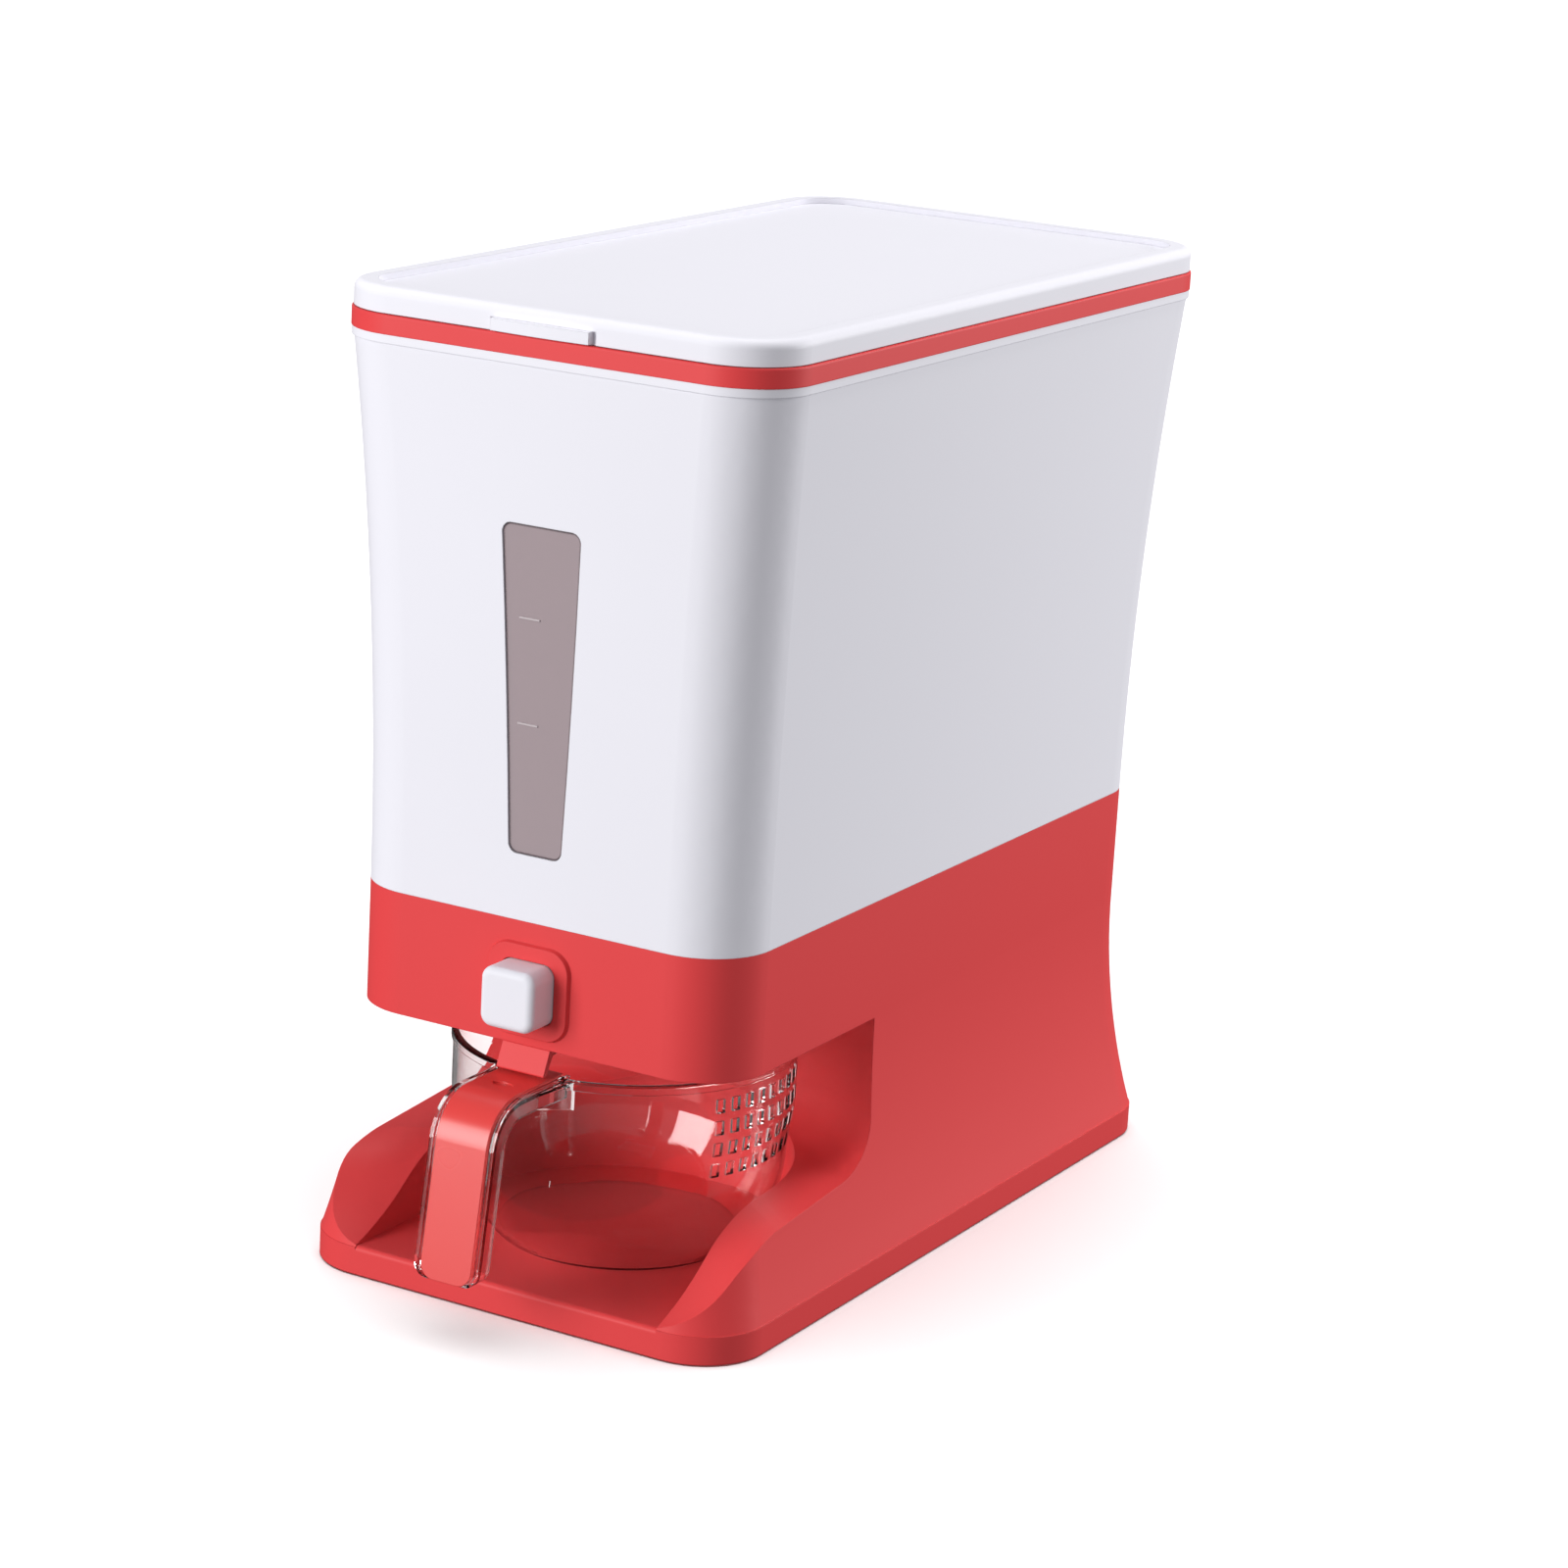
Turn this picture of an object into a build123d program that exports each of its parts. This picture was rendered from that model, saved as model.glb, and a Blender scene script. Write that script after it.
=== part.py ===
from build123d import *
from math import cos, radians, sin, tan
import os

os.makedirs("parts", exist_ok=True)

# Rice dispenser. Millimetres, +Z up, front towards -Y. The origin is on the ground, under
# the middle of the whole outline, from the front of the cup's handle to the back of the base.

# Outer form: a straight waist that flares down to the base and up to the rim
waist_width = 176.0
waist_depth = 350.0
corner_radius = 28.0
base_width = 200.0
base_depth = 370.0
base_center_y = 20.5
plinth_height = 12.0
foot_standing = 0.8
overhang_height = 108.0
split_height = 157.0
hopper_top = 374.5
base_flare_side = 11.5
base_flare_end = 9.5
rim_flare = 9.4
housing_wall = 2.6
hopper_wall = 2.4

# Clearances
slide_gap = 0.3
seat_gap = 0.2

# Bay: a scooped recess, open at the front and both sides
tray_floor = 12.5
lip_radius = 2.0
pocket_half_width = 69.5
scoop_axis_y = -156.5
scoop_bend = 40.0
scoop_reach = 147.0
scoop_foot = 38.5
scoop_foot_slope = 23.0
scoop_rise = (65.0, 30.5)
scoop_shoulder = (90.0, 43.4)
scoop_heel_height = 49.4
scoop_heel_radius = 20.0

# Cup
cup_center_y = -81.5
cup_wall = 1.8
cup_top = 95.5
cup_rim_radius = 68.4
cup_waist_radius = 66.0
cup_waist_height = 50.0
cup_base_radius = 49.0
cup_bead = 0.8
cup_bead_height = 3.5
cup_bead_edge = 1.0
cup_flare_height = 74.0
strainer_columns = 9
strainer_rows = 4
strainer_step_angle = 6.25
strainer_row_step = 9.0
strainer_top_row = 85.0
slot_width = 3.6
slot_height = 5.6
slot_turn = 90.0

# Handle of the cup: a channel that reaches forwards and bends down
handle_half_width = 14.5
handle_depth = 8.0
handle_flange = 1.8
handle_web = 1.8
handle_top = 96.8
handle_corner_y = -194.7
handle_lean = 8.8
handle_bend = 20.0
handle_end_height = 27.0
handle_end_radius = 6.0
handle_root_y = -145.5
handle_flare_y = -167.5
handle_flare_half_width = 18.5
handle_flare_bottom = 83.5
strip_thickness = 1.6
strip_half_width = 11.3
strip_seat = 0.2
dimple_center_y = -170.0
dimple_width = 9.0
dimple_length = 4.5
dimple_depth = 0.8

# Button and shutter
button_width = 24.0
button_height = 24.0
button_center = 130.0
button_front_y = -171.0
button_corner = 5.0
button_edge = 3.0
button_wall = 2.0
button_stroke = 15.0
button_flange = 3.0
surround_border = 7.0
surround_proud = 1.8
surround_corner = 10.0
outlet_width = 30.0
outlet_length = 14.0
outlet_center_y = -111.5
gate_bottom = 124.0
gate_thickness = 3.0
gate_half_width = 17.0
gate_rear_y = -95.5
ear_half_width = 28.5
ear_top = 131.4
ear_thickness = 3.0
spring_x = 24.0
spring_length = 36.0
spring_radius = 3.0
spring_wire = 1.0
spring_turns = 5
spring_sides = 5
track_half_width = 42.0
track_wall = 2.4
track_front_y = -133.5
track_cover_front_y = -131.0
track_rear_y = -77.5
track_screw_x = 36.5
track_screw_y = (-126.5, -84.5)
wiper_thickness = 2.0

# Funnel
funnel_wall = 2.2
funnel_front_height = 192.0
funnel_rear_height = 270.0
funnel_outlet_height = 131.4
funnel_reach = 30.0

# Chute and tab
chute_wall = 1.8
chute_bottom = 102.0
chute_flange = 3.0
tab_width = 21.5
tab_drop = 10.0
tab_thickness = 2.2
tab_top_y = -154.7
tab_lean = 4.2
tab_pad = 9.0

# Level window
window_bottom = 183.0
window_top = 311.0
window_half_bottom = 11.8
window_half_top = 17.6
window_corner = 4.0
window_recess = 0.6
window_flange = 4.0
window_pane = 1.5
tick_heights = (234.0, 275.0)
tick_length = 9.0
tick_center_x = -5.0
tick_relief = 0.4

# Collar ring and lid
spigot_depth = 10.0
spigot_lap = 3.0
ring_height = 7.5
ring_proud = 0.6
ring_width = 6.5
ring_skirt_inset = 4.8
ring_skirt_depth = 10.5
ring_edge = 0.8
flange_height = 3.4
flange_proud = 0.4
lid_height = 9.8
lid_inset = 0.7
lid_edge_radius = 3.6
lid_bead_width = 9.0
lid_recess = 2.6
lid_panel = 2.2
lid_plug_depth = 9.0
lid_plug_wall = 2.4
lid_plug_inset = 8.0
seal_height = 3.0
seal_drop = 4.0
lid_tab_width = 42.6
lid_tab_proud = 2.6
lid_tab_bow = 0.8
lid_tab_height = 4.6
notch_width = 1.6

# Base closing
bottom_plate_thickness = 2.5
bottom_plate_rise = 1.7
foot_radius = 9.0
foot_edge = 24.5
boss_radius = 4.5
boss_side_edge = 20.0
boss_end_edge = 55.0
boss_top = 48.0
rib_thickness = 2.0
screw_radius = 1.6
screw_head_radius = 3.2
screw_head_height = 1.4
screw_length = 9.0


# The base's own upright planes of symmetry, and its middle on a level sketch
middle_xz = Plane.XZ.offset(-base_center_y)
middle_yz = Plane((0, base_center_y, 0), x_dir=(0, 1, 0), z_dir=(1, 0, 0))
base_middle = (0, base_center_y)


def flared_form(inset, tangent_height, far_height, end_height, flare_side, flare_end):
    """A rounded box, straight from end_height to tangent_height, then flaring to far_height."""
    turn = 1 if far_height > tangent_height else -1
    with BuildPart() as form:
        for plane, half, flare, reach, join in (
            (middle_xz, waist_width / 2 - inset, flare_side, base_depth, Mode.ADD),
            (middle_yz, waist_depth / 2 - inset, flare_end, base_width, Mode.INTERSECT),
        ):
            far = half + flare
            with BuildSketch(plane):
                with BuildLine():
                    TangentArc((half, tangent_height), (far, far_height), tangent=(0, turn))
                    Polyline(
                        (far, far_height),
                        (0, far_height),
                        (0, end_height),
                        (half, end_height),
                        (half, tangent_height),
                    )
                make_face()
                mirror(about=Plane.YZ)
            extrude(amount=reach, both=True, mode=join)
        upright = form.edges().filter_by(lambda e: e.bounding_box().size.Z > 1)
        fillet(upright, radius=corner_radius - inset)
    return form.part


def skirt_form(inset):
    """The base's outer form, with its walls moved in by inset."""
    with BuildPart() as form:
        add(
            flared_form(
                inset,
                overhang_height,
                plinth_height,
                split_height,
                base_flare_side,
                base_flare_end,
            )
        )
        with BuildSketch(Plane.XY.offset(foot_standing)):
            with Locations(base_middle):
                RectangleRounded(
                    base_width - 2 * inset, base_depth - 2 * inset, corner_radius - inset
                )
        extrude(amount=plinth_height - foot_standing)
    return form.part


def tub_form(inset, bottom=split_height - spigot_depth):
    """The container's outer form, with its walls moved in by inset."""
    return flared_form(inset, split_height, hopper_top, bottom, rim_flare, rim_flare)


def rounded_slab(width, depth, radius, bottom, top):
    """An upright slab with rounded corners, over the middle of the base."""
    with BuildPart() as slab:
        with BuildSketch(Plane.XY.offset(bottom)):
            with Locations(base_middle):
                RectangleRounded(width, depth, radius)
        extrude(amount=top - bottom)
    return slab.part


def block(x_range, y_range, z_range):
    """A plain block between two limits along each axis."""
    limits = (x_range, y_range, z_range)
    size = [high - low for low, high in limits]
    middle = tuple((high + low) / 2 for low, high in limits)
    with BuildPart() as plain:
        with Locations(middle):
            Box(*size)
    return plain.part


def bay_form(grow):
    """The bay's space, with floor, walls and ceiling moved out by grow."""
    side = Plane(
        origin=(0, scoop_axis_y, 0),
        x_dir=(sin(radians(scoop_bend)), cos(radians(scoop_bend)), 0),
        z_dir=(cos(radians(scoop_bend)), -sin(radians(scoop_bend)), 0),
    )
    axis = Axis((0, scoop_axis_y, 0), (0, 0, 1))
    inner = scoop_foot / 2
    with BuildSketch(side) as scoop:
        with BuildLine():
            rise = TangentArc(
                (scoop_foot, tray_floor),
                scoop_rise,
                tangent=(cos(radians(scoop_foot_slope)), sin(radians(scoop_foot_slope))),
            )
            TangentArc(scoop_rise, scoop_shoulder, tangent=rise % 1)
            FilletPolyline(
                scoop_shoulder,
                (scoop_reach, scoop_heel_height),
                (scoop_reach, overhang_height),
                radius=scoop_heel_radius,
            )
            Polyline(
                (scoop_reach, overhang_height),
                (inner, overhang_height),
                (inner, tray_floor),
                (scoop_foot, tray_floor),
            )
        make_face()
        if grow:
            offset(amount=grow, kind=Kind.INTERSECTION)
    with BuildPart() as form:
        extrude(scoop.sketch, amount=base_width, dir=side.z_dir)
        mirror(about=Plane.YZ)
        revolve(scoop.sketch, axis=axis, revolution_arc=2 * scoop_bend)
        with BuildSketch(Plane.XY.offset(tray_floor - grow)):
            half = pocket_half_width + grow
            with Locations((0, cup_center_y)):
                Circle(half)
            with Locations((0, cup_center_y - base_depth / 2)):
                Rectangle(2 * half, base_depth)
        extrude(amount=overhang_height - tray_floor + 2 * grow)
    return form.part


def cup_form(inset, top):
    """The cup's outer form, with its wall and floor moved in by inset."""
    floor = tray_floor + slide_gap + inset
    base = cup_base_radius - inset / 2
    waist = cup_waist_radius - inset
    rim = cup_rim_radius - inset
    with BuildPart() as form:
        with BuildSketch(Plane.XZ.offset(-cup_center_y)):
            with BuildLine():
                Line((0, floor), (base, floor))
                TangentArc((waist, cup_waist_height), (base, floor), tangent=(0, -1))
                Spline(
                    (waist, cup_waist_height),
                    (rim, cup_flare_height),
                    tangents=((0, 1), (0, 1)),
                )
                Polyline((rim, cup_flare_height), (rim, top), (0, top), (0, floor))
            make_face()
        revolve(axis=Axis((0, cup_center_y, 0), (0, 0, 1)))
    return form.part


def handle_band(outer, inner, half_width):
    """A strip bent to the handle's line, between two depths below its outer surface."""
    lean = radians(handle_lean)
    drop = handle_top - handle_end_height
    lines = []
    for depth in (outer, inner):
        corner_y = handle_corner_y + depth / cos(lean) - depth * tan(lean)
        end_y = handle_corner_y + depth / cos(lean) - drop * tan(lean)
        corner = (corner_y, handle_top - depth)
        lines.append(((handle_root_y, handle_top - depth), corner, (end_y, handle_end_height)))
    with BuildPart() as band:
        with BuildSketch(Plane.YZ):
            with BuildLine():
                FilletPolyline(*lines[0], radius=handle_bend - outer)
                FilletPolyline(*lines[1], radius=handle_bend - inner)
                Line(lines[0][0], lines[1][0])
                Line(lines[0][2], lines[1][2])
            make_face()
        extrude(amount=half_width, both=True)
        with BuildSketch(Plane.XZ):
            with BuildLine():
                FilletPolyline(
                    (-half_width, handle_top),
                    (-half_width, handle_end_height),
                    (half_width, handle_end_height),
                    (half_width, handle_top),
                    radius=handle_end_radius,
                )
                Line((-half_width, handle_top), (half_width, handle_top))
            make_face()
        extrude(amount=base_depth, mode=Mode.INTERSECT)
    return band.part


def handle_root(inset):
    """The handle's root, which widens and deepens towards the cup's wall."""
    under_web = handle_top - strip_thickness - inset
    with BuildPart() as root:
        for y, half, bottom in (
            (handle_flare_y, handle_half_width, handle_top - handle_depth),
            (handle_root_y, handle_flare_half_width, handle_flare_bottom),
        ):
            with BuildSketch(Plane.XZ.offset(-y)):
                with Locations((0, (under_web + bottom - inset) / 2)):
                    Rectangle(2 * (half - inset), under_web - bottom + inset)
        loft(ruled=True)
    return root.part


def window_prism(grow):
    """The window's outline, moved out by grow, as a block through the front wall."""
    with BuildPart() as prism:
        with BuildSketch(Plane.XZ):
            with BuildLine():
                Polyline(
                    (-window_half_bottom, window_bottom),
                    (window_half_bottom, window_bottom),
                    (window_half_top, window_top),
                    (-window_half_top, window_top),
                    close=True,
                )
            face = make_face()
            fillet(face.vertices(), radius=window_corner)
            offset(amount=grow)
        extrude(amount=base_depth)
    return prism.part


wall_front_y = base_center_y - waist_depth / 2
base_front_y = base_center_y - base_depth / 2
wall_inner_y = wall_front_y + housing_wall
overhang_top = overhang_height + housing_wall
gate_top = gate_bottom + gate_thickness
track_floor_top = gate_bottom - slide_gap
track_floor_bottom = track_floor_top - track_wall
cover_bottom = gate_top + slide_gap
button_flange_y = wall_inner_y + slide_gap
button_rear_y = button_flange_y + button_wall
spring_front_y = button_rear_y + ear_thickness
spring_rear_y = spring_front_y + spring_length
spring_height = (gate_bottom + ear_top) / 2
plate_top = bottom_plate_rise + bottom_plate_thickness
chute_outer = (outlet_width + 2 * chute_wall, outlet_length + 2 * chute_wall)
rim_width = waist_width + 2 * rim_flare
rim_depth = waist_depth + 2 * rim_flare
ring_top = hopper_top + ring_height
ring_outer_width = rim_width + 2 * ring_proud
ring_outer_depth = rim_depth + 2 * ring_proud
lid_bottom = ring_top + slide_gap
lid_top = ring_top + slide_gap + lid_height
foot_x = base_width / 2 - foot_edge
foot_y = base_depth / 2 - foot_edge
boss_x = base_width / 2 - boss_side_edge
boss_y = base_depth / 2 - boss_end_edge
boss_rows = (base_center_y - boss_y, base_center_y + boss_y)
boss_places = [(x, y) for x in (-boss_x, boss_x) for y in boss_rows]
track_places = [(x, y) for x in (-track_screw_x, track_screw_x) for y in track_screw_y]

skirt_outer = skirt_form(0)
skirt_inner = skirt_form(housing_wall)
tub_outer = tub_form(0)
tub_inner = tub_form(hopper_wall)
bay_space = bay_form(0)
bay_liner = bay_form(housing_wall) & skirt_outer

with BuildPart() as bottom_screws:
    for x, y in boss_places:
        with Locations((x, y, bottom_plate_rise)):
            Cylinder(
                screw_head_radius,
                screw_head_height,
                align=(Align.CENTER, Align.CENTER, Align.MIN),
            )
            Cylinder(
                screw_radius,
                screw_length,
                align=(Align.CENTER, Align.CENTER, Align.MIN),
            )
bottom_screws.part.label = "bottom_screws"
export_step(bottom_screws.part, "parts/bottom_screws.step")

with BuildPart() as track_screws:
    for x, y in track_places:
        with Locations((x, y, track_floor_top)):
            Cylinder(
                screw_head_radius,
                screw_head_height,
                align=(Align.CENTER, Align.CENTER, Align.MIN),
            )
            Cylinder(
                screw_radius,
                screw_length,
                align=(Align.CENTER, Align.CENTER, Align.MAX),
            )
track_screws.part.label = "track_screws"
export_step(track_screws.part, "parts/track_screws.step")

ribs = []
for side in (-1, 1):
    for y in boss_rows:
        rib = block(
            sorted((side * boss_x, side * base_width / 2)),
            (y - rib_thickness / 2, y + rib_thickness / 2),
            (plate_top, boss_top),
        )
        ribs.append(rib & skirt_outer)

lip_center_y = base_front_y + lip_radius
with BuildPart() as lip_corner:
    add(
        block(
            (-pocket_half_width, pocket_half_width),
            (base_front_y - 1, lip_center_y),
            (tray_floor - lip_radius, tray_floor + 1),
        )
    )
    with BuildSketch(Plane.YZ):
        with Locations((lip_center_y, tray_floor - lip_radius)):
            Circle(lip_radius)
    extrude(amount=pocket_half_width, both=True, mode=Mode.SUBTRACT)

with BuildPart() as base_housing:
    add(skirt_outer)
    add(skirt_inner, mode=Mode.SUBTRACT)
    with BuildSketch(Plane.XZ.offset(-wall_front_y - 1)):
        with Locations((0, button_center)):
            RectangleRounded(
                button_width + 2 * surround_border,
                button_height + 2 * surround_border,
                surround_corner,
            )
    extrude(amount=surround_proud + 1, taper=20)
    with BuildSketch(Plane.XY.offset(plate_top)):
        with Locations(boss_places):
            Circle(boss_radius)
    extrude(amount=boss_top - plate_top)
    add(bay_liner)
    for rib in ribs:
        add(rib)
    add(bay_space, mode=Mode.SUBTRACT)
    with BuildSketch(Plane.XZ.offset(-wall_inner_y - 1)):
        with Locations((0, button_center)):
            RectangleRounded(
                button_width + 2 * slide_gap, button_height + 2 * slide_gap, button_corner
            )
    extrude(amount=housing_wall + surround_proud + 2, mode=Mode.SUBTRACT)
    with BuildSketch(Plane.XY.offset(overhang_height - 1)):
        with Locations((0, outlet_center_y)):
            Rectangle(chute_outer[0] + 2 * seat_gap, chute_outer[1] + 2 * seat_gap)
    extrude(amount=housing_wall + 2, mode=Mode.SUBTRACT)
    add(lip_corner.part, mode=Mode.SUBTRACT)
    with BuildSketch(Plane.XY.offset(overhang_height)):
        with Locations(track_places):
            Circle(boss_radius)
    extrude(amount=track_floor_bottom - overhang_height)
    add(bottom_screws.part, mode=Mode.SUBTRACT)
    add(track_screws.part, mode=Mode.SUBTRACT)
base_housing.part.label = "base_housing"
export_step(base_housing.part, "parts/base_housing.step")

with BuildPart() as bottom_plate:
    add(
        rounded_slab(
            base_width - 2 * (housing_wall + seat_gap),
            base_depth - 2 * (housing_wall + seat_gap),
            corner_radius - housing_wall - seat_gap,
            bottom_plate_rise,
            plate_top,
        )
    )
    add(bottom_screws.part, mode=Mode.SUBTRACT)
bottom_plate.part.label = "bottom_plate"
export_step(bottom_plate.part, "parts/bottom_plate.step")

for end, y in (("front", base_center_y - foot_y), ("rear", base_center_y + foot_y)):
    for hand, x in (("left", -foot_x), ("right", foot_x)):
        with BuildPart() as foot:
            with Locations((x, y, 0)):
                Cylinder(
                    foot_radius,
                    bottom_plate_rise,
                    align=(Align.CENTER, Align.CENTER, Align.MIN),
                )
            chamfer(foot.edges().group_by(Axis.Z)[0], length=0.4)
        foot.part.label = f"foot_{end}_{hand}"
        export_step(foot.part, f"parts/foot_{end}_{hand}.step")

with BuildPart() as outlet_chute:
    with BuildSketch(Plane.XY.offset(chute_bottom)):
        with Locations((0, outlet_center_y)):
            Rectangle(*chute_outer)
    extrude(amount=track_floor_bottom - chute_bottom)
    with BuildSketch(Plane.XY.offset(overhang_top)):
        with Locations((0, outlet_center_y)):
            Rectangle(chute_outer[0] + 2 * chute_flange, chute_outer[1] + 2 * chute_flange)
    extrude(amount=chute_wall)
    with BuildSketch(Plane.XY.offset(chute_bottom)):
        with Locations((0, outlet_center_y)):
            Rectangle(outlet_width, outlet_length)
    extrude(amount=track_floor_bottom - chute_bottom, mode=Mode.SUBTRACT)
outlet_chute.part.label = "outlet_chute"
export_step(outlet_chute.part, "parts/outlet_chute.step")

with BuildPart() as cup_tab:
    with BuildSketch(Plane.YZ):
        with BuildLine():
            Polyline(
                (tab_top_y, overhang_height),
                (tab_top_y - tab_lean, overhang_height - tab_drop),
                (tab_top_y - tab_lean + tab_thickness, overhang_height - tab_drop),
                (tab_top_y + tab_thickness, overhang_height - tab_thickness),
                (tab_top_y + tab_pad, overhang_height - tab_thickness),
                (tab_top_y + tab_pad, overhang_height),
                close=True,
            )
        make_face()
    extrude(amount=tab_width / 2, both=True)
    fillet(cup_tab.edges().filter_by(Axis.X).group_by(Axis.Z)[0], radius=0.8)
cup_tab.part.label = "cup_tab"
export_step(cup_tab.part, "parts/cup_tab.step")

with BuildPart() as push_button:
    with BuildSketch(Plane.XZ.offset(-button_rear_y)):
        with Locations((0, button_center)):
            RectangleRounded(button_width, button_height, button_corner)
    extrude(amount=button_rear_y - button_front_y)
    fillet(push_button.faces().sort_by(Axis.Y)[0].edges(), radius=button_edge)
    with BuildSketch(Plane.XZ.offset(-button_rear_y)):
        with Locations((0, button_center)):
            RectangleRounded(
                button_width + 2 * button_flange,
                button_height + 2 * button_flange,
                button_corner,
            )
    extrude(amount=button_wall)
    with BuildSketch(Plane.XZ.offset(-button_rear_y)):
        with Locations((0, button_center)):
            RectangleRounded(
                button_width - 2 * button_wall,
                button_height - 2 * button_wall,
                button_corner - button_wall,
            )
    extrude(amount=button_rear_y - button_front_y - button_wall, mode=Mode.SUBTRACT)
push_button.part.label = "push_button"
export_step(push_button.part, "parts/push_button.step")

with BuildPart() as gate_slide:
    with BuildSketch(Plane.XY.offset(gate_bottom)):
        with Locations((0, (button_rear_y + gate_rear_y) / 2)):
            Rectangle(2 * gate_half_width, gate_rear_y - button_rear_y)
        with Locations((0, outlet_center_y - button_stroke)):
            Rectangle(outlet_width, outlet_length, mode=Mode.SUBTRACT)
    extrude(amount=gate_thickness)
    add(
        block(
            (-ear_half_width, ear_half_width),
            (button_rear_y, button_rear_y + ear_thickness),
            (gate_bottom, ear_top),
        )
    )
gate_slide.part.label = "gate_slide"
export_step(gate_slide.part, "parts/gate_slide.step")

with BuildPart() as gate_wiper:
    with BuildSketch(Plane.XY.offset(cover_bottom)):
        with Locations((0, outlet_center_y)):
            Rectangle(outlet_width + 2 * wiper_thickness, outlet_length + 2 * wiper_thickness)
            Rectangle(outlet_width, outlet_length, mode=Mode.SUBTRACT)
    extrude(amount=funnel_outlet_height - cover_bottom)
gate_wiper.part.label = "gate_wiper"
export_step(gate_wiper.part, "parts/gate_wiper.step")

guide_inner = gate_half_width + slide_gap
guide_outer = guide_inner + track_wall
with BuildPart() as gate_track:
    add(
        block(
            (-track_half_width, track_half_width),
            (track_front_y, track_rear_y),
            (track_floor_bottom, track_floor_top),
        )
    )
    add(
        block(
            (-guide_outer, guide_outer),
            (track_cover_front_y, track_rear_y),
            (track_floor_top, cover_bottom + track_wall),
        )
    )
    add(
        block(
            (-ear_half_width - track_wall, ear_half_width + track_wall),
            (spring_rear_y, spring_rear_y + track_wall),
            (track_floor_top, ear_top),
        )
    )
    add(
        block(
            (-guide_inner, guide_inner),
            (track_cover_front_y, track_rear_y),
            (track_floor_top, cover_bottom),
        ),
        mode=Mode.SUBTRACT,
    )
    add(
        block(
            (-guide_inner, guide_inner),
            (spring_rear_y - 1, spring_rear_y + track_wall + 1),
            (cover_bottom + track_wall, ear_top),
        ),
        mode=Mode.SUBTRACT,
    )
    with BuildSketch(Plane.XY.offset(track_floor_bottom)):
        with Locations((0, outlet_center_y)):
            Rectangle(outlet_width, outlet_length)
    extrude(amount=funnel_outlet_height - track_floor_bottom, mode=Mode.SUBTRACT)
    add(gate_wiper.part, mode=Mode.SUBTRACT)
    add(track_screws.part, mode=Mode.SUBTRACT)
gate_track.part.label = "gate_track"
export_step(gate_track.part, "parts/gate_track.step")

for hand, x in (("left", -spring_x), ("right", spring_x)):
    half_pitch = (spring_length - spring_wire) / spring_turns / 2
    with BuildPart() as spring:
        with BuildLine() as coil:
            for half_turn in range(2 * spring_turns):
                start_y = spring_front_y + spring_wire / 2 + half_turn * half_pitch
                side = 1 if half_turn % 2 == 0 else -1
                ThreePointArc(
                    (x + side * spring_radius, start_y, spring_height),
                    (x, start_y + half_pitch / 2, spring_height + side * spring_radius),
                    (x - side * spring_radius, start_y + half_pitch, spring_height),
                )
        with BuildSketch(Plane(coil.line @ 0, z_dir=coil.line % 0)):
            RegularPolygon(spring_wire / 2, spring_sides)
        sweep()
    spring.part.label = f"return_spring_{hand}"
    export_step(spring.part, f"parts/return_spring_{hand}.step")

with BuildPart() as hopper:
    add(tub_outer)
    add(tub_inner, mode=Mode.SUBTRACT)
    spigot_inset = housing_wall + seat_gap
    add(
        rounded_slab(
            waist_width, waist_depth, corner_radius, split_height - spigot_depth, split_height
        ),
        mode=Mode.SUBTRACT,
    )
    add(
        rounded_slab(
            waist_width - 2 * spigot_inset,
            waist_depth - 2 * spigot_inset,
            corner_radius - spigot_inset,
            split_height - spigot_depth,
            split_height + spigot_lap,
        )
    )
    add(
        rounded_slab(
            waist_width - 2 * seat_gap,
            waist_depth - 2 * seat_gap,
            corner_radius - seat_gap,
            split_height,
            split_height + spigot_lap,
        )
    )
    add(
        rounded_slab(
            waist_width - 2 * spigot_inset - 2 * hopper_wall,
            waist_depth - 2 * spigot_inset - 2 * hopper_wall,
            corner_radius - spigot_inset - hopper_wall,
            split_height - spigot_depth,
            split_height + spigot_lap,
        ),
        mode=Mode.SUBTRACT,
    )
    add(
        rounded_slab(
            rim_width + 2 * flange_proud,
            rim_depth + 2 * flange_proud,
            corner_radius,
            hopper_top - flange_height,
            hopper_top,
        )
    )
    add(
        rounded_slab(
            rim_width - 2 * hopper_wall,
            rim_depth - 2 * hopper_wall,
            corner_radius - hopper_wall,
            hopper_top - flange_height,
            hopper_top,
        ),
        mode=Mode.SUBTRACT,
    )
    add(window_prism(0), mode=Mode.SUBTRACT)
hopper.part.label = "hopper"
export_step(hopper.part, "parts/hopper.step")

pane = (tub_form(window_recess) - tub_inner) & window_prism(-seat_gap)
edging = (tub_inner - tub_form(hopper_wall + window_pane)) & window_prism(window_flange)
with BuildPart() as level_window:
    add(pane)
    add(edging)
level_window.part.label = "level_window"
export_step(level_window.part, "parts/level_window.step")

with BuildPart() as level_marks:
    for height in tick_heights:
        add(
            block(
                (tick_center_x - tick_length / 2, tick_center_x + tick_length / 2),
                (-base_depth, 0),
                (height - tick_relief, height + tick_relief),
            )
        )
    add(tub_form(window_recess - tick_relief), mode=Mode.INTERSECT)
    add(tub_form(window_recess), mode=Mode.SUBTRACT)
level_marks.part.label = "level_marks"
export_step(level_marks.part, "parts/level_marks.step")


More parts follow.
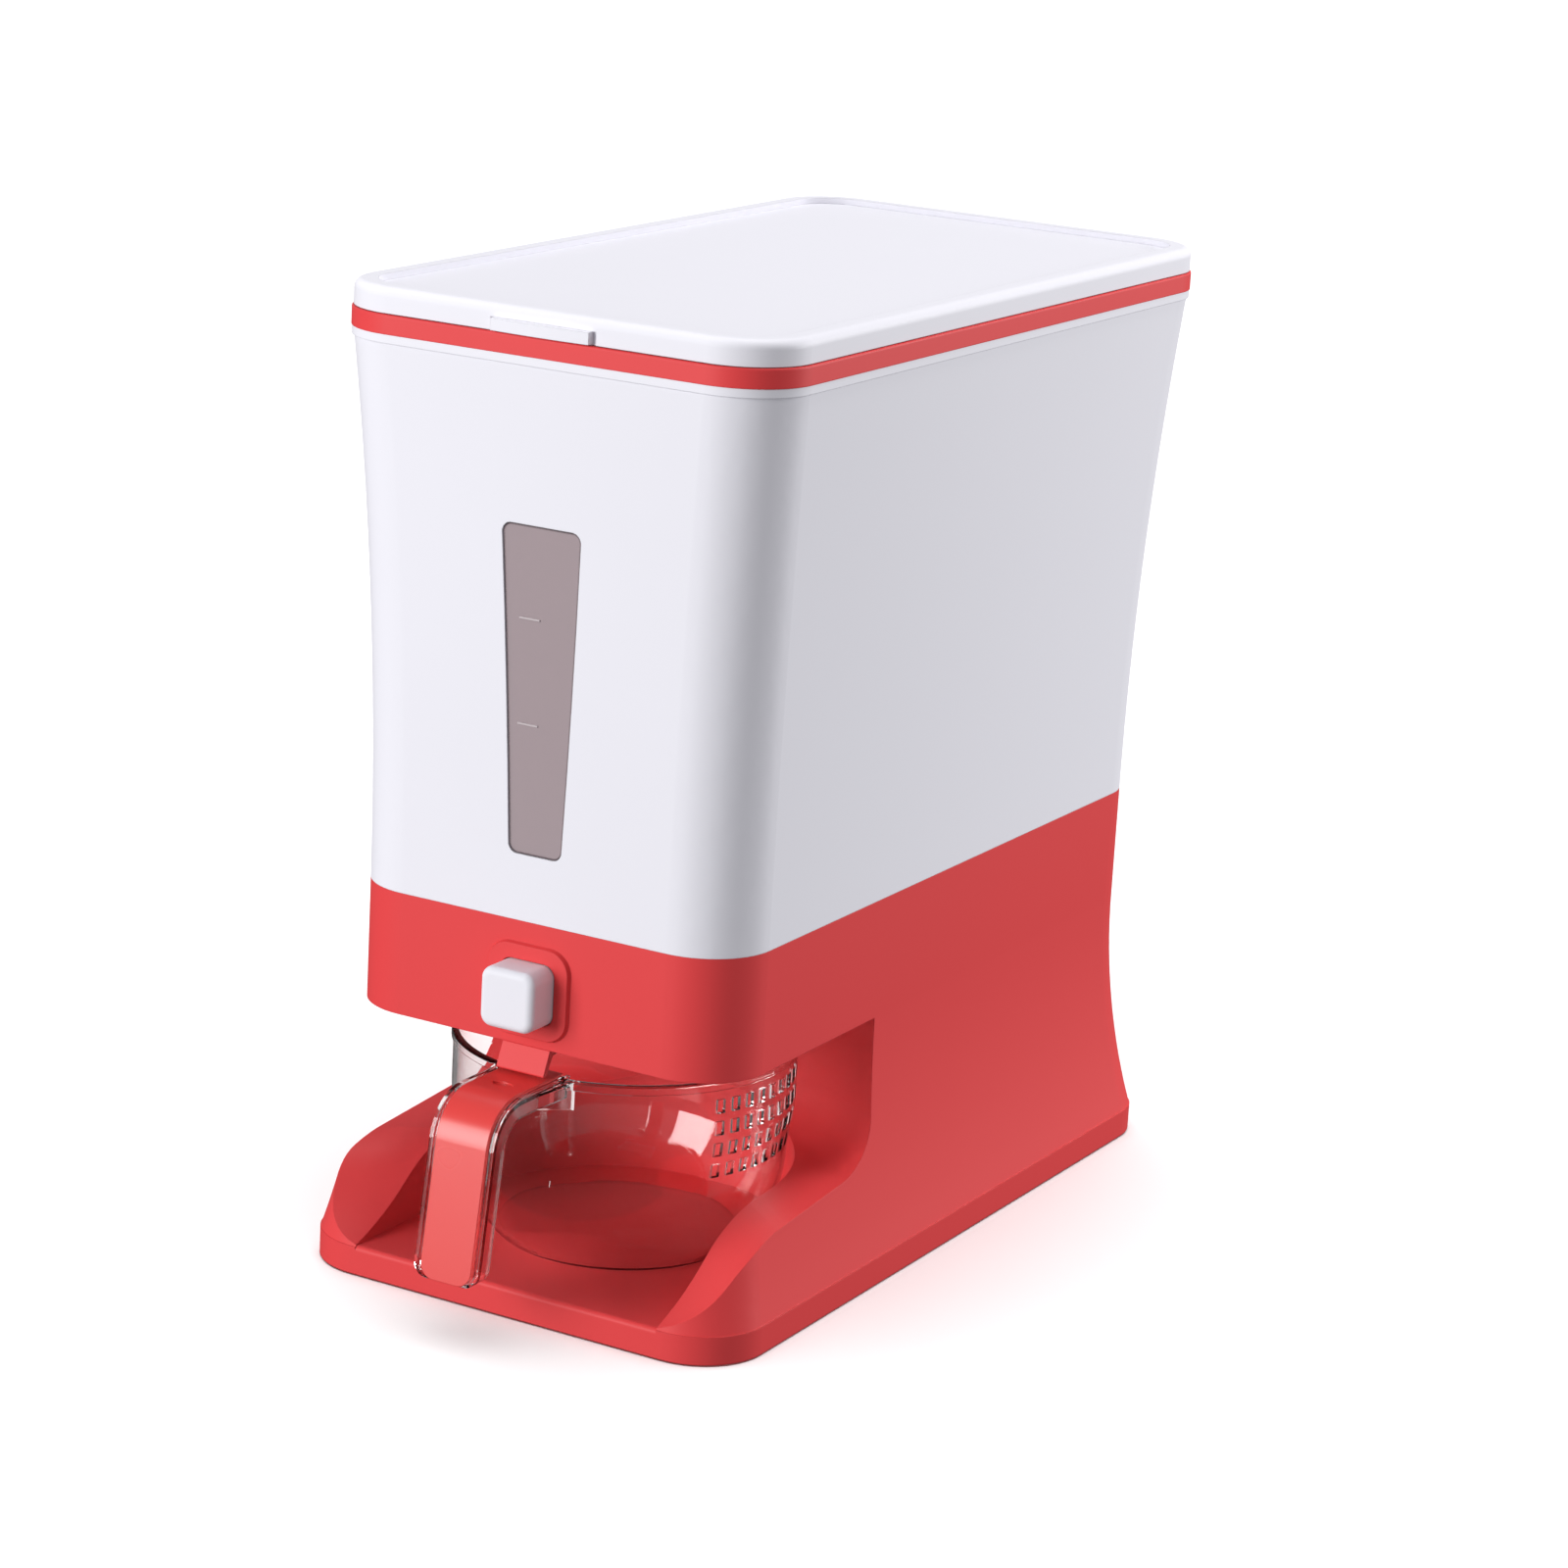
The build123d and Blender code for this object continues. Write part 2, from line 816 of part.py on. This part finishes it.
def funnel_cone(drop):
    """The funnel's sloped form, lowered by drop and reaching past the walls."""
    slope = (funnel_rear_height - funnel_front_height) / (waist_depth + funnel_reach)
    middle = (funnel_rear_height + funnel_front_height) / 2 - drop
    with BuildPart() as cone:
        with BuildSketch(Plane.XY.offset(funnel_outlet_height)):
            with Locations((0, outlet_center_y)):
                Rectangle(outlet_width + 2 * drop, outlet_length + 2 * drop)
        tilted = Plane((0, base_center_y, middle), x_dir=(1, 0, 0), z_dir=(0, -slope, 1))
        with BuildSketch(tilted):
            Rectangle(waist_width + funnel_reach, waist_depth + funnel_reach)
        loft(ruled=True)
    return cone.part


with BuildPart() as hopper_funnel:
    add(funnel_cone(funnel_wall))
    add(funnel_cone(0), mode=Mode.SUBTRACT)
    add(tub_form(hopper_wall + seat_gap, gate_bottom), mode=Mode.INTERSECT)
hopper_funnel.part.label = "hopper_funnel"
export_step(hopper_funnel.part, "parts/hopper_funnel.step")

with BuildPart() as collar_ring:
    add(rounded_slab(ring_outer_width, ring_outer_depth, corner_radius, hopper_top, ring_top))
    fillet(collar_ring.edges().group_by(Axis.Z)[-1], radius=ring_edge)
    add(
        rounded_slab(
            ring_outer_width - 2 * ring_skirt_inset,
            ring_outer_depth - 2 * ring_skirt_inset,
            corner_radius - ring_skirt_inset,
            hopper_top - ring_skirt_depth,
            hopper_top,
        )
    )
    add(
        rounded_slab(
            ring_outer_width - 2 * ring_width,
            ring_outer_depth - 2 * ring_width,
            corner_radius - ring_width,
            hopper_top - ring_skirt_depth,
            ring_top,
        ),
        mode=Mode.SUBTRACT,
    )
collar_ring.part.label = "collar_ring"
export_step(collar_ring.part, "parts/collar_ring.step")


def lid_slab(inset, bottom, top):
    """A slab with the lid's outline, moved in by inset."""
    return rounded_slab(
        ring_outer_width - 2 * inset,
        ring_outer_depth - 2 * inset,
        corner_radius - inset,
        bottom,
        top,
    )


panel_top = lid_top - lid_recess
panel_bottom = panel_top - lid_panel
plug_bottom = lid_bottom - lid_plug_depth
lid_plug = lid_slab(lid_plug_inset, plug_bottom, panel_bottom)
lid_plug -= lid_slab(lid_plug_inset + lid_plug_wall, plug_bottom, panel_bottom)
with BuildPart() as lid:
    add(lid_slab(lid_inset, lid_bottom, lid_top))
    fillet(lid.edges().group_by(Axis.Z)[-1], radius=lid_edge_radius)
    add(lid_slab(lid_inset + lid_bead_width, panel_top, lid_top), mode=Mode.SUBTRACT)
    add(lid_slab(lid_inset + lid_plug_wall, lid_bottom, panel_bottom), mode=Mode.SUBTRACT)
    add(lid_plug)
    ring_front_y = base_center_y - ring_outer_depth / 2
    lid_front_y = ring_front_y + lid_inset
    tab_front_y = ring_front_y - lid_tab_proud
    with BuildSketch(Plane.XY.offset(lid_bottom + slide_gap)):
        with BuildLine():
            half = lid_tab_width / 2
            tab_side_y = tab_front_y + lid_tab_bow
            tab_root_y = lid_front_y + lid_plug_wall
            ThreePointArc((-half, tab_side_y), (0, tab_front_y), (half, tab_side_y))
            Polyline(
                (half, tab_side_y),
                (half, tab_root_y),
                (-half, tab_root_y),
                (-half, tab_side_y),
            )
        make_face()
    extrude(amount=lid_tab_height)
    for side in (-1, 1):
        notch_x = side * (lid_tab_width + notch_width) / 2
        add(
            block(
                (notch_x - notch_width / 2, notch_x + notch_width / 2),
                (lid_front_y - 1, lid_front_y + notch_width / 2),
                (lid_bottom, lid_bottom + slide_gap + lid_tab_height),
            ),
            mode=Mode.SUBTRACT,
        )
lid.part.label = "lid"
export_step(lid.part, "parts/lid.step")

with BuildPart() as lid_seal:
    seal_top = ring_top - seal_drop
    add(lid_slab(ring_width + slide_gap, seal_top - seal_height, seal_top))
    add(lid_slab(lid_plug_inset, seal_top - seal_height, seal_top), mode=Mode.SUBTRACT)
lid_seal.part.label = "lid_seal"
export_step(lid_seal.part, "parts/lid_seal.step")

flange_core = handle_band(0, handle_depth + 1, handle_half_width - handle_flange)
handle_flanges = handle_band(strip_seat, handle_depth, handle_half_width) - flange_core
root_shell = handle_root(0) - handle_root(handle_flange)
with BuildPart() as cup:
    add(cup_form(0, cup_top))
    with BuildSketch(Plane.XY.offset(cup_top - cup_bead_height)):
        with Locations((0, cup_center_y)):
            Circle(cup_rim_radius + cup_bead)
    extrude(amount=cup_bead_height)
    fillet(cup.edges().group_by(Axis.Z)[-1], radius=cup_bead_edge)
    add(handle_band(strip_thickness, strip_thickness + handle_web, handle_half_width))
    add(handle_flanges)
    add(root_shell)
    add(cup_form(cup_wall, cup_top), mode=Mode.SUBTRACT)
    for column in range(strainer_columns):
        angle = 90 + (column - (strainer_columns - 1) / 2) * strainer_step_angle
        for row in range(strainer_rows):
            outward = (sin(radians(angle)), -cos(radians(angle)), 0)
            height = strainer_top_row - row * strainer_row_step
            with BuildSketch(Plane((0, cup_center_y, height), z_dir=outward)):
                Rectangle(slot_height, slot_width, rotation=slot_turn)
            extrude(amount=cup_rim_radius + 1, mode=Mode.SUBTRACT)
cup.part.label = "cup"
export_step(cup.part, "parts/cup.step")

with BuildPart() as handle_strip:
    add(handle_band(0, strip_thickness, strip_half_width))
    add(cup.part, mode=Mode.SUBTRACT)
    with BuildSketch(Plane.XY.offset(handle_top)):
        with Locations((0, dimple_center_y)):
            Ellipse(dimple_width / 2, dimple_length / 2)
    extrude(amount=-dimple_depth, mode=Mode.SUBTRACT)
handle_strip.part.label = "handle_strip"
export_step(handle_strip.part, "parts/handle_strip.step")
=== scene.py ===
import math

import bpy
from mathutils import Matrix, Vector

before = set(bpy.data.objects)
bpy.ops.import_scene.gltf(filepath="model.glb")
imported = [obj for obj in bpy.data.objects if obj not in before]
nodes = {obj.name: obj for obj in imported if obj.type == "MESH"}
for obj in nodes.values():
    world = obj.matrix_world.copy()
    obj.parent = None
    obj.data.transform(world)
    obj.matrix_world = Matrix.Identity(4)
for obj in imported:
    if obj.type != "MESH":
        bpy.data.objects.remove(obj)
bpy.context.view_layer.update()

# ---------------------------------------------------------------- camera
# The photograph is taken from the front right, a little above the lid,
# with a long lens. The picture leans by about three degrees.
view_turn = math.radians(29.28)
view_height = math.radians(15.17)
view_lean = math.radians(3.26)
view_place = Vector((0.8690, -1.5152, 0.6542))
picture_width_px = 1600
lens_px = 4537.3
film_width_mm = 36.0
far_limit = 100.0


def direction(side, height):
    """The unit vector from the object to a place: side 0 is the front, a quarter turn the right."""
    level = math.cos(height)
    return Vector((math.sin(side) * level, -math.cos(side) * level, math.sin(height)))


towards_camera = direction(view_turn, view_height)
level_right = Vector((math.cos(view_turn), math.sin(view_turn), 0))
upright = towards_camera.cross(level_right)
picture_right = level_right * math.cos(view_lean) + upright * math.sin(view_lean)
picture_top = upright * math.cos(view_lean) - level_right * math.sin(view_lean)

camera_data = bpy.data.cameras.new("photo_camera")
camera_data.sensor_width = film_width_mm
camera_data.lens = lens_px * film_width_mm / picture_width_px
camera_data.clip_end = far_limit
camera = bpy.data.objects.new("photo_camera", camera_data)
bpy.context.scene.collection.objects.link(camera)
turned = Matrix((picture_right, picture_top, towards_camera)).transposed()
camera.matrix_world = Matrix.Translation(view_place) @ turned.to_4x4()
bpy.context.scene.camera = camera


# ---------------------------------------------------------------- studio
# A pale floor in a dim, even room. Two soft boxes stand low, one at the front left and
# one at the rear right, so that the front right corner falls into shade between them.
# A third hangs above.
def to_linear(hex_value):
    """A colour written as an sRGB hex value, turned to linear light."""
    parts = [int(hex_value[i : i + 2], 16) / 255 for i in (1, 3, 5)]
    linear = [c / 12.92 if c <= 0.04045 else ((c + 0.055) / 1.055) ** 2.4 for c in parts]
    return (*linear, 1.0)


def new_material(name):
    """An empty material."""
    material = bpy.data.materials.new(name)
    material.use_nodes = True
    material.node_tree.nodes.clear()
    return material


def add_node(owner, kind, settings=None, links=None):
    """Adds a node to a material or world. Inputs go by name, or by number where names repeat."""
    tree = owner.node_tree
    node = tree.nodes.new(kind)
    for name, value in (settings or {}).items():
        if isinstance(name, str) and hasattr(node, name):
            setattr(node, name, value)
        else:
            node.inputs[name].default_value = value
    for name, source in (links or {}).items():
        tree.links.new(source, node.inputs[name])
    return node


# Matt white paint gives the eye a white ground with the part's soft shadow on it. Seen
# in a single reflection the floor is dark, because so bright a floor would lay a haze
# over the cup's clear back wall.
single_reflection = 1.0
comparison_margin = 0.5
floor_paint = new_material("pale_painted_floor")
floor_path = add_node(floor_paint, "ShaderNodeLightPath")
mirrored_once = add_node(
    floor_paint,
    "ShaderNodeMath",
    {"operation": "COMPARE", 1: single_reflection, 2: comparison_margin},
    {0: floor_path.outputs["Glossy Depth"]},
)
floor_tone = add_node(
    floor_paint,
    "ShaderNodeMix",
    {"data_type": "RGBA", "A": to_linear("#FAFAFA"), "B": to_linear("#404040")},
    {"Factor": mirrored_once.outputs["Value"]},
)
floor_shader = add_node(
    floor_paint,
    "ShaderNodeBsdfPrincipled",
    {"Roughness": 0.9, "Specular IOR Level": 0.1},
    {"Base Color": floor_tone.outputs["Result"]},
)
add_node(floor_paint, "ShaderNodeOutputMaterial", links={"Surface": floor_shader.outputs["BSDF"]})

floor_reach = 30.0
corner_sides = ((-1, -1), (1, -1), (1, 1), (-1, 1))
floor_corners = [(x * floor_reach, y * floor_reach, 0) for x, y in corner_sides]
floor_mesh = bpy.data.meshes.new("floor")
floor_mesh.from_pydata(floor_corners, [], [(0, 1, 2, 3)])
floor_mesh.materials.append(floor_paint)
floor = bpy.data.objects.new("floor", floor_mesh)
bpy.context.scene.collection.objects.link(floor)
floor.visible_diffuse = False

# The room lights the object dimly, but the camera sees it as white as the floor.
room_light = 0.3
room_as_seen = 1.2
room = bpy.data.worlds.new("dim_room")
room.use_nodes = True
room_walls = room.node_tree.nodes["Background"]
room_walls.inputs["Color"].default_value = to_linear("#FBFBFF")
room_path = add_node(room, "ShaderNodeLightPath")
room_strength = add_node(
    room,
    "ShaderNodeMapRange",
    {"To Min": room_light, "To Max": room_as_seen},
    {"Value": room_path.outputs["Is Camera Ray"]},
)
room.node_tree.links.new(room_strength.outputs["Result"], room_walls.inputs["Strength"])
bpy.context.scene.world = room
bpy.context.scene.view_settings.view_transform = "Standard"

# The soft boxes light all but the floor, and the floor lamp lights the floor alone.
floor_only = bpy.data.collections.new("floor_only")
floor_only.objects.link(floor)
all_but_floor = bpy.data.collections.new("all_but_floor")
all_but_floor.objects.link(floor)
all_but_floor.collection_objects[0].light_linking.link_state = "EXCLUDE"

# Each soft box: its side of the object (0 is the front, 90 the right) and its height
# in degrees, its light in watts, its width and height in metres. All three are equally
# far off and face the middle of the object.
lamp_distance = 2.5
aim = Vector((0, 0, 0.2))
for name, side, height, power, wide, tall in (
    ("left_soft_box", -24.0, 11.0, 56.0, 1.3, 1.6),
    ("right_soft_box", 135.0, 14.0, 44.0, 0.9, 1.3),
    ("top_soft_box", 165.0, 79.0, 37.0, 1.4, 1.2),
):
    soft_box = bpy.data.lights.new(name, "AREA")
    soft_box.shape = "RECTANGLE"
    soft_box.size = wide
    soft_box.size_y = tall
    soft_box.energy = power
    stand = bpy.data.objects.new(name, soft_box)
    towards_lamp = direction(math.radians(side), math.radians(height))
    stand.location = aim + towards_lamp * lamp_distance
    stand.rotation_euler = (-towards_lamp).to_track_quat("-Z", "Y").to_euler()
    stand.light_linking.receiver_collection = all_but_floor
    bpy.context.scene.collection.objects.link(stand)

# The floor has an even light of its own, so that it stays white out to the horizon.
floor_light = 3.6
floor_light_spread = math.radians(80)
floor_lamp = bpy.data.lights.new("floor_lamp", "SUN")
floor_lamp.energy = floor_light
floor_lamp.angle = floor_light_spread
floor_lamp_object = bpy.data.objects.new("floor_lamp", floor_lamp)
floor_lamp_object.light_linking.receiver_collection = floor_only
bpy.context.scene.collection.objects.link(floor_lamp_object)


# ---------------------------------------------------------------- base
# The base is one injection-moulded shell of red polypropylene. Its flared skirt, tray
# and overhang carry all the rest, and a small tongue hangs from it over the cup's rim.
def moulded(name, colour, shade, roughness, shine=0.22, grain_mm=0.6, grain_depth_mm=0.012):
    """A moulded plastic or rubber, or the ink on one. The eye gets an even satin, soft edges
    and a faint drift in colour and gloss. Real spark-eroded grain is about 0.1 mm wide, too
    fine to show, so it is drawn coarser here."""
    drift_mm = 111.1
    gloss_drift = 0.04
    soft_edge_mm = 0.5
    grain_strength = 0.25
    material = new_material(name)
    place = add_node(material, "ShaderNodeTexCoord")
    grain = add_node(
        material,
        "ShaderNodeTexNoise",
        {"Scale": 1000 / grain_mm, "Detail": 2.0, "Roughness": 0.6},
        {"Vector": place.outputs["Object"]},
    )
    drift = add_node(
        material,
        "ShaderNodeTexNoise",
        {"Scale": 1000 / drift_mm, "Detail": 3.0, "Roughness": 0.5},
        {"Vector": place.outputs["Object"]},
    )
    tint = add_node(
        material,
        "ShaderNodeMix",
        {"data_type": "RGBA", "A": to_linear(colour), "B": to_linear(shade)},
        {"Factor": drift.outputs["Fac"]},
    )
    gloss = add_node(
        material,
        "ShaderNodeMapRange",
        {"To Min": roughness - gloss_drift, "To Max": roughness + gloss_drift},
        {"Value": drift.outputs["Fac"]},
    )
    edges = add_node(material, "ShaderNodeBevel", {"samples": 4, "Radius": soft_edge_mm / 1000})
    bump = add_node(
        material,
        "ShaderNodeBump",
        {"Strength": grain_strength, "Distance": grain_depth_mm / 1000},
        {"Height": grain.outputs["Fac"], "Normal": edges.outputs["Normal"]},
    )
    surface = add_node(
        material,
        "ShaderNodeBsdfPrincipled",
        {"IOR": 1.49, "Specular IOR Level": shine},
        {
            "Base Color": tint.outputs["Result"],
            "Roughness": gloss.outputs["Result"],
            "Normal": bump.outputs["Normal"],
        },
    )
    add_node(material, "ShaderNodeOutputMaterial", links={"Surface": surface.outputs["BSDF"]})
    return material


def dress(material, *names):
    """Gives nodes of the frame their material."""
    for name in names:
        mesh = nodes[name].data
        mesh.materials.clear()
        mesh.materials.append(material)


# The red looks satin and a little light, as coloured polypropylene does.
red_polypropylene = moulded("moulded_red_polypropylene", "#E34648", "#DF4244", 0.46)
dress(red_polypropylene, "base_housing", "cup_tab")

# ---------------------------------------------------------------- base closing
# A moulded grey plate closes the base from below, held by four zinc-plated screws
# that sit in counterbores. The dispenser stands on four small black rubber feet.

# The grey plastic looks flat, with less shine than the red.
grey_polypropylene = moulded("moulded_grey_polypropylene", "#8E8E90", "#88888A", 0.55)
dress(grey_polypropylene, "bottom_plate")

# Rubber looks dull and nearly black, with a coarser grain than the plastics.
black_rubber = moulded("moulded_black_rubber", "#1C1C1D", "#232324", 0.8, grain_mm=0.9)
dress(black_rubber, "foot_front_left", "foot_front_right", "foot_rear_left", "foot_rear_right")


def bare_metal(name, colour, roughness, streak_mm):
    """A metal. The eye gets a grey sheen that fine turning or drawing marks break up. The
    real marks are finer than 0.1 mm, so they are drawn coarser here."""
    gloss_change = 0.08
    material = new_material(name)
    place = add_node(material, "ShaderNodeTexCoord")
    streaks = add_node(
        material,
        "ShaderNodeTexNoise",
        {"Scale": 1000 / streak_mm, "Detail": 3.0},
        {"Vector": place.outputs["Object"]},
    )
    gloss = add_node(
        material,
        "ShaderNodeMapRange",
        {"To Min": roughness - gloss_change, "To Max": roughness + gloss_change},
        {"Value": streaks.outputs["Fac"]},
    )
    surface = add_node(
        material,
        "ShaderNodeBsdfPrincipled",
        {"Base Color": to_linear(colour), "Metallic": 1.0},
        {"Roughness": gloss.outputs["Result"]},
    )
    add_node(material, "ShaderNodeOutputMaterial", links={"Surface": surface.outputs["BSDF"]})
    return material


# Zinc plating looks pale and slightly blue, with a broad, soft shine.
zinc_plated_steel = bare_metal("zinc_plated_steel", "#B9BCC2", 0.34, streak_mm=0.3)
dress(zinc_plated_steel, "bottom_screws")

# ---------------------------------------------------------------- container and lid
# The container and the lid are white polypropylene mouldings with the base's satin
# grain. The container stands on the base, and the lid is lifted off by hand.

# The white is a shade cooler than paper, and its edges stay soft.
white_polypropylene = moulded("moulded_white_polypropylene", "#EBEAF1", "#E8E7EE", 0.48)
dress(white_polypropylene, "hopper", "lid")

# ---------------------------------------------------------------- collar ring
# The red ring is a separate moulding in the base's colour, clipped over the
# container's rim. The lid's soft seal lies inside it.
dress(red_polypropylene, "collar_ring")

# Unfilled silicone looks milky and matt.
clear_silicone = moulded("moulded_clear_silicone", "#D6D6D4", "#CFCFCE", 0.6, grain_mm=1.2)
dress(clear_silicone, "lid_seal")

# ---------------------------------------------------------------- button and shutter
# The button, its shutter plate, the track, the spout and the sloped floor are plain
# white mouldings. The track is screwed down, a silicone ring seals the shutter, and
# two springs of drawn wire push the button out again.
dress(
    white_polypropylene,
    "push_button",
    "gate_slide",
    "gate_track",
    "outlet_chute",
    "hopper_funnel",
)
dress(clear_silicone, "gate_wiper")
dress(zinc_plated_steel, "track_screws")

# Drawn wire looks a little darker than the zinc, with a sharper shine.
spring_wire = bare_metal("drawn_spring_steel", "#A4A6AA", 0.3, streak_mm=0.2)
dress(spring_wire, "return_spring_left", "return_spring_right")

# ---------------------------------------------------------------- level window
# The window is a polished strip of smoke-tinted clear styrene, set into the
# container's front, with two ticks printed on it in pale ink.

# The tinted strip is flat grey-mauve. A darker line of painted shade runs along its edges, standing
# in for the shade where the edge turns away. The painted shade is darkest where the cosine between
# a rounded edge and the real one is at its limit.
painted_edge_shade_mm = 1.6
darkest_cosine = 0.92
smoke_styrene = new_material("smoke_tinted_styrene")
rounded = add_node(smoke_styrene, "ShaderNodeBevel", {"samples": 8, "Radius": painted_edge_shade_mm / 1000})
as_moulded = add_node(smoke_styrene, "ShaderNodeNewGeometry")
flatness = add_node(
    smoke_styrene,
    "ShaderNodeVectorMath",
    {"operation": "DOT_PRODUCT"},
    {0: rounded.outputs["Normal"], 1: as_moulded.outputs["Normal"]},
)
off_the_edge = add_node(
    smoke_styrene,
    "ShaderNodeMapRange",
    {"From Min": darkest_cosine, "From Max": 1.0},
    {"Value": flatness.outputs["Value"]},
)
# The strip's own grey-mauve, turning to a dark painted shade at its edges.
smoke_and_painted_edge_shade = add_node(
    smoke_styrene,
    "ShaderNodeMix",
    {"data_type": "RGBA", "A": to_linear("#6A5E62"), "B": to_linear("#C1B0B4")},
    {"Factor": off_the_edge.outputs["Result"]},
)
smoke_shader = add_node(
    smoke_styrene,
    "ShaderNodeBsdfPrincipled",
    {"Roughness": 0.16, "IOR": 1.57, "Transmission Weight": 0.3},
    {"Base Color": smoke_and_painted_edge_shade.outputs["Result"]},
)
add_node(smoke_styrene, "ShaderNodeOutputMaterial", links={"Surface": smoke_shader.outputs["BSDF"]})
dress(smoke_styrene, "level_window")

# The ink looks a little paler than the strip, and matt.
pale_ink = moulded("printed_pale_ink", "#C9BEC0", "#C2B7BA", 0.5)
dress(pale_ink, "level_marks")

# ---------------------------------------------------------------- cup
# The cup is injection-moulded in one piece with its handle, of clear styrene with
# polished walls. A red strip is pressed into the handle's channel.

# Clear styrene shows mostly its bright and dark edges. The light that falls through it
# onto the tray is only dimmed, not bent.
clear_styrene = new_material("clear_moulded_styrene")
clear_shader = add_node(
    clear_styrene,
    "ShaderNodeBsdfPrincipled",
    {"Base Color": to_linear("#FFFDFD"), "Roughness": 0.02, "IOR": 1.5, "Transmission Weight": 1.0},
)
dimmed = add_node(clear_styrene, "ShaderNodeBsdfTransparent", {"Color": to_linear("#E4E0E0")})
cup_path = add_node(clear_styrene, "ShaderNodeLightPath")
seen_or_lit_through = add_node(
    clear_styrene,
    "ShaderNodeMixShader",
    links={
        0: cup_path.outputs["Is Shadow Ray"],
        1: clear_shader.outputs["BSDF"],
        2: dimmed.outputs["BSDF"],
    },
)
add_node(
    clear_styrene,
    "ShaderNodeOutputMaterial",
    links={"Surface": seen_or_lit_through.outputs["Shader"]},
)
dress(clear_styrene, "cup")

# The strip is smoother than the base, so it shows a clear highlight at its bend.
smooth_red = moulded(
    "moulded_smooth_red_strip", "#E6433F", "#E3413E", 0.28, shine=0.6, grain_depth_mm=0.004
)
dress(smooth_red, "handle_strip")
